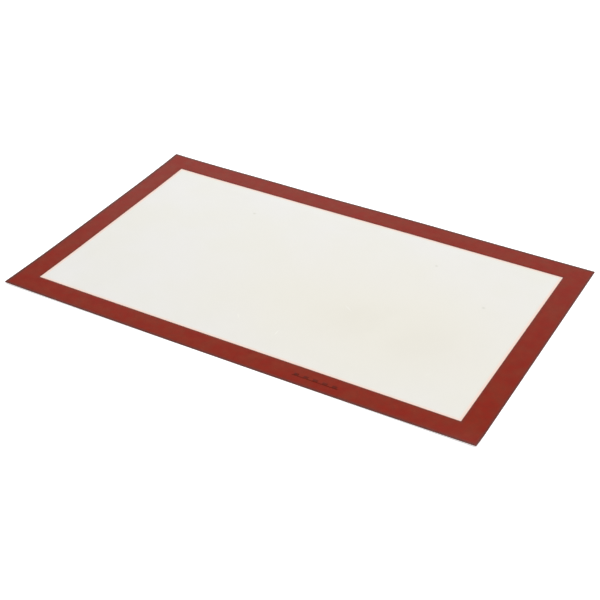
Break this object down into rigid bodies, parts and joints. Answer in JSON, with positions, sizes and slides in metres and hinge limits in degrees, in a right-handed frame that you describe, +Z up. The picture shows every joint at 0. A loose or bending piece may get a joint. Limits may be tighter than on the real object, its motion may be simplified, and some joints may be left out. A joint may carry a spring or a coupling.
{
  "type": "baking mat",
  "caption": "Flat flexible baking mat: silicone-coated glass cloth with an off-white field, a red-brown border, a sealed edge and a plain printed scale.",
  "frame": {"origin": "centre of the mat's underside, on the surface it lies on", "axes": "+X along the long side, to the right as seen from the front edge with the printed scale; +Y from the front edge to the back edge; +Z up, through the thickness"},
  "size_m": [0.52, 0.315, 0.0011],
  "materials": {
    "field_silicone": "satin",
    "glass_cloth": "matte",
    "border_silicone": "satin",
    "seal_silicone": "satin",
    "ink": "matte"
  },
  "bodies": {
    "root": {"lower_border_print": "border_silicone", "lower_silicone_coat": "field_silicone", "glass_cloth_core": "glass_cloth", "upper_silicone_coat": "field_silicone", "upper_border_print": "border_silicone", "edge_seal": "seal_silicone", "printed_scale": "ink"}
  },
  "joints": []
}
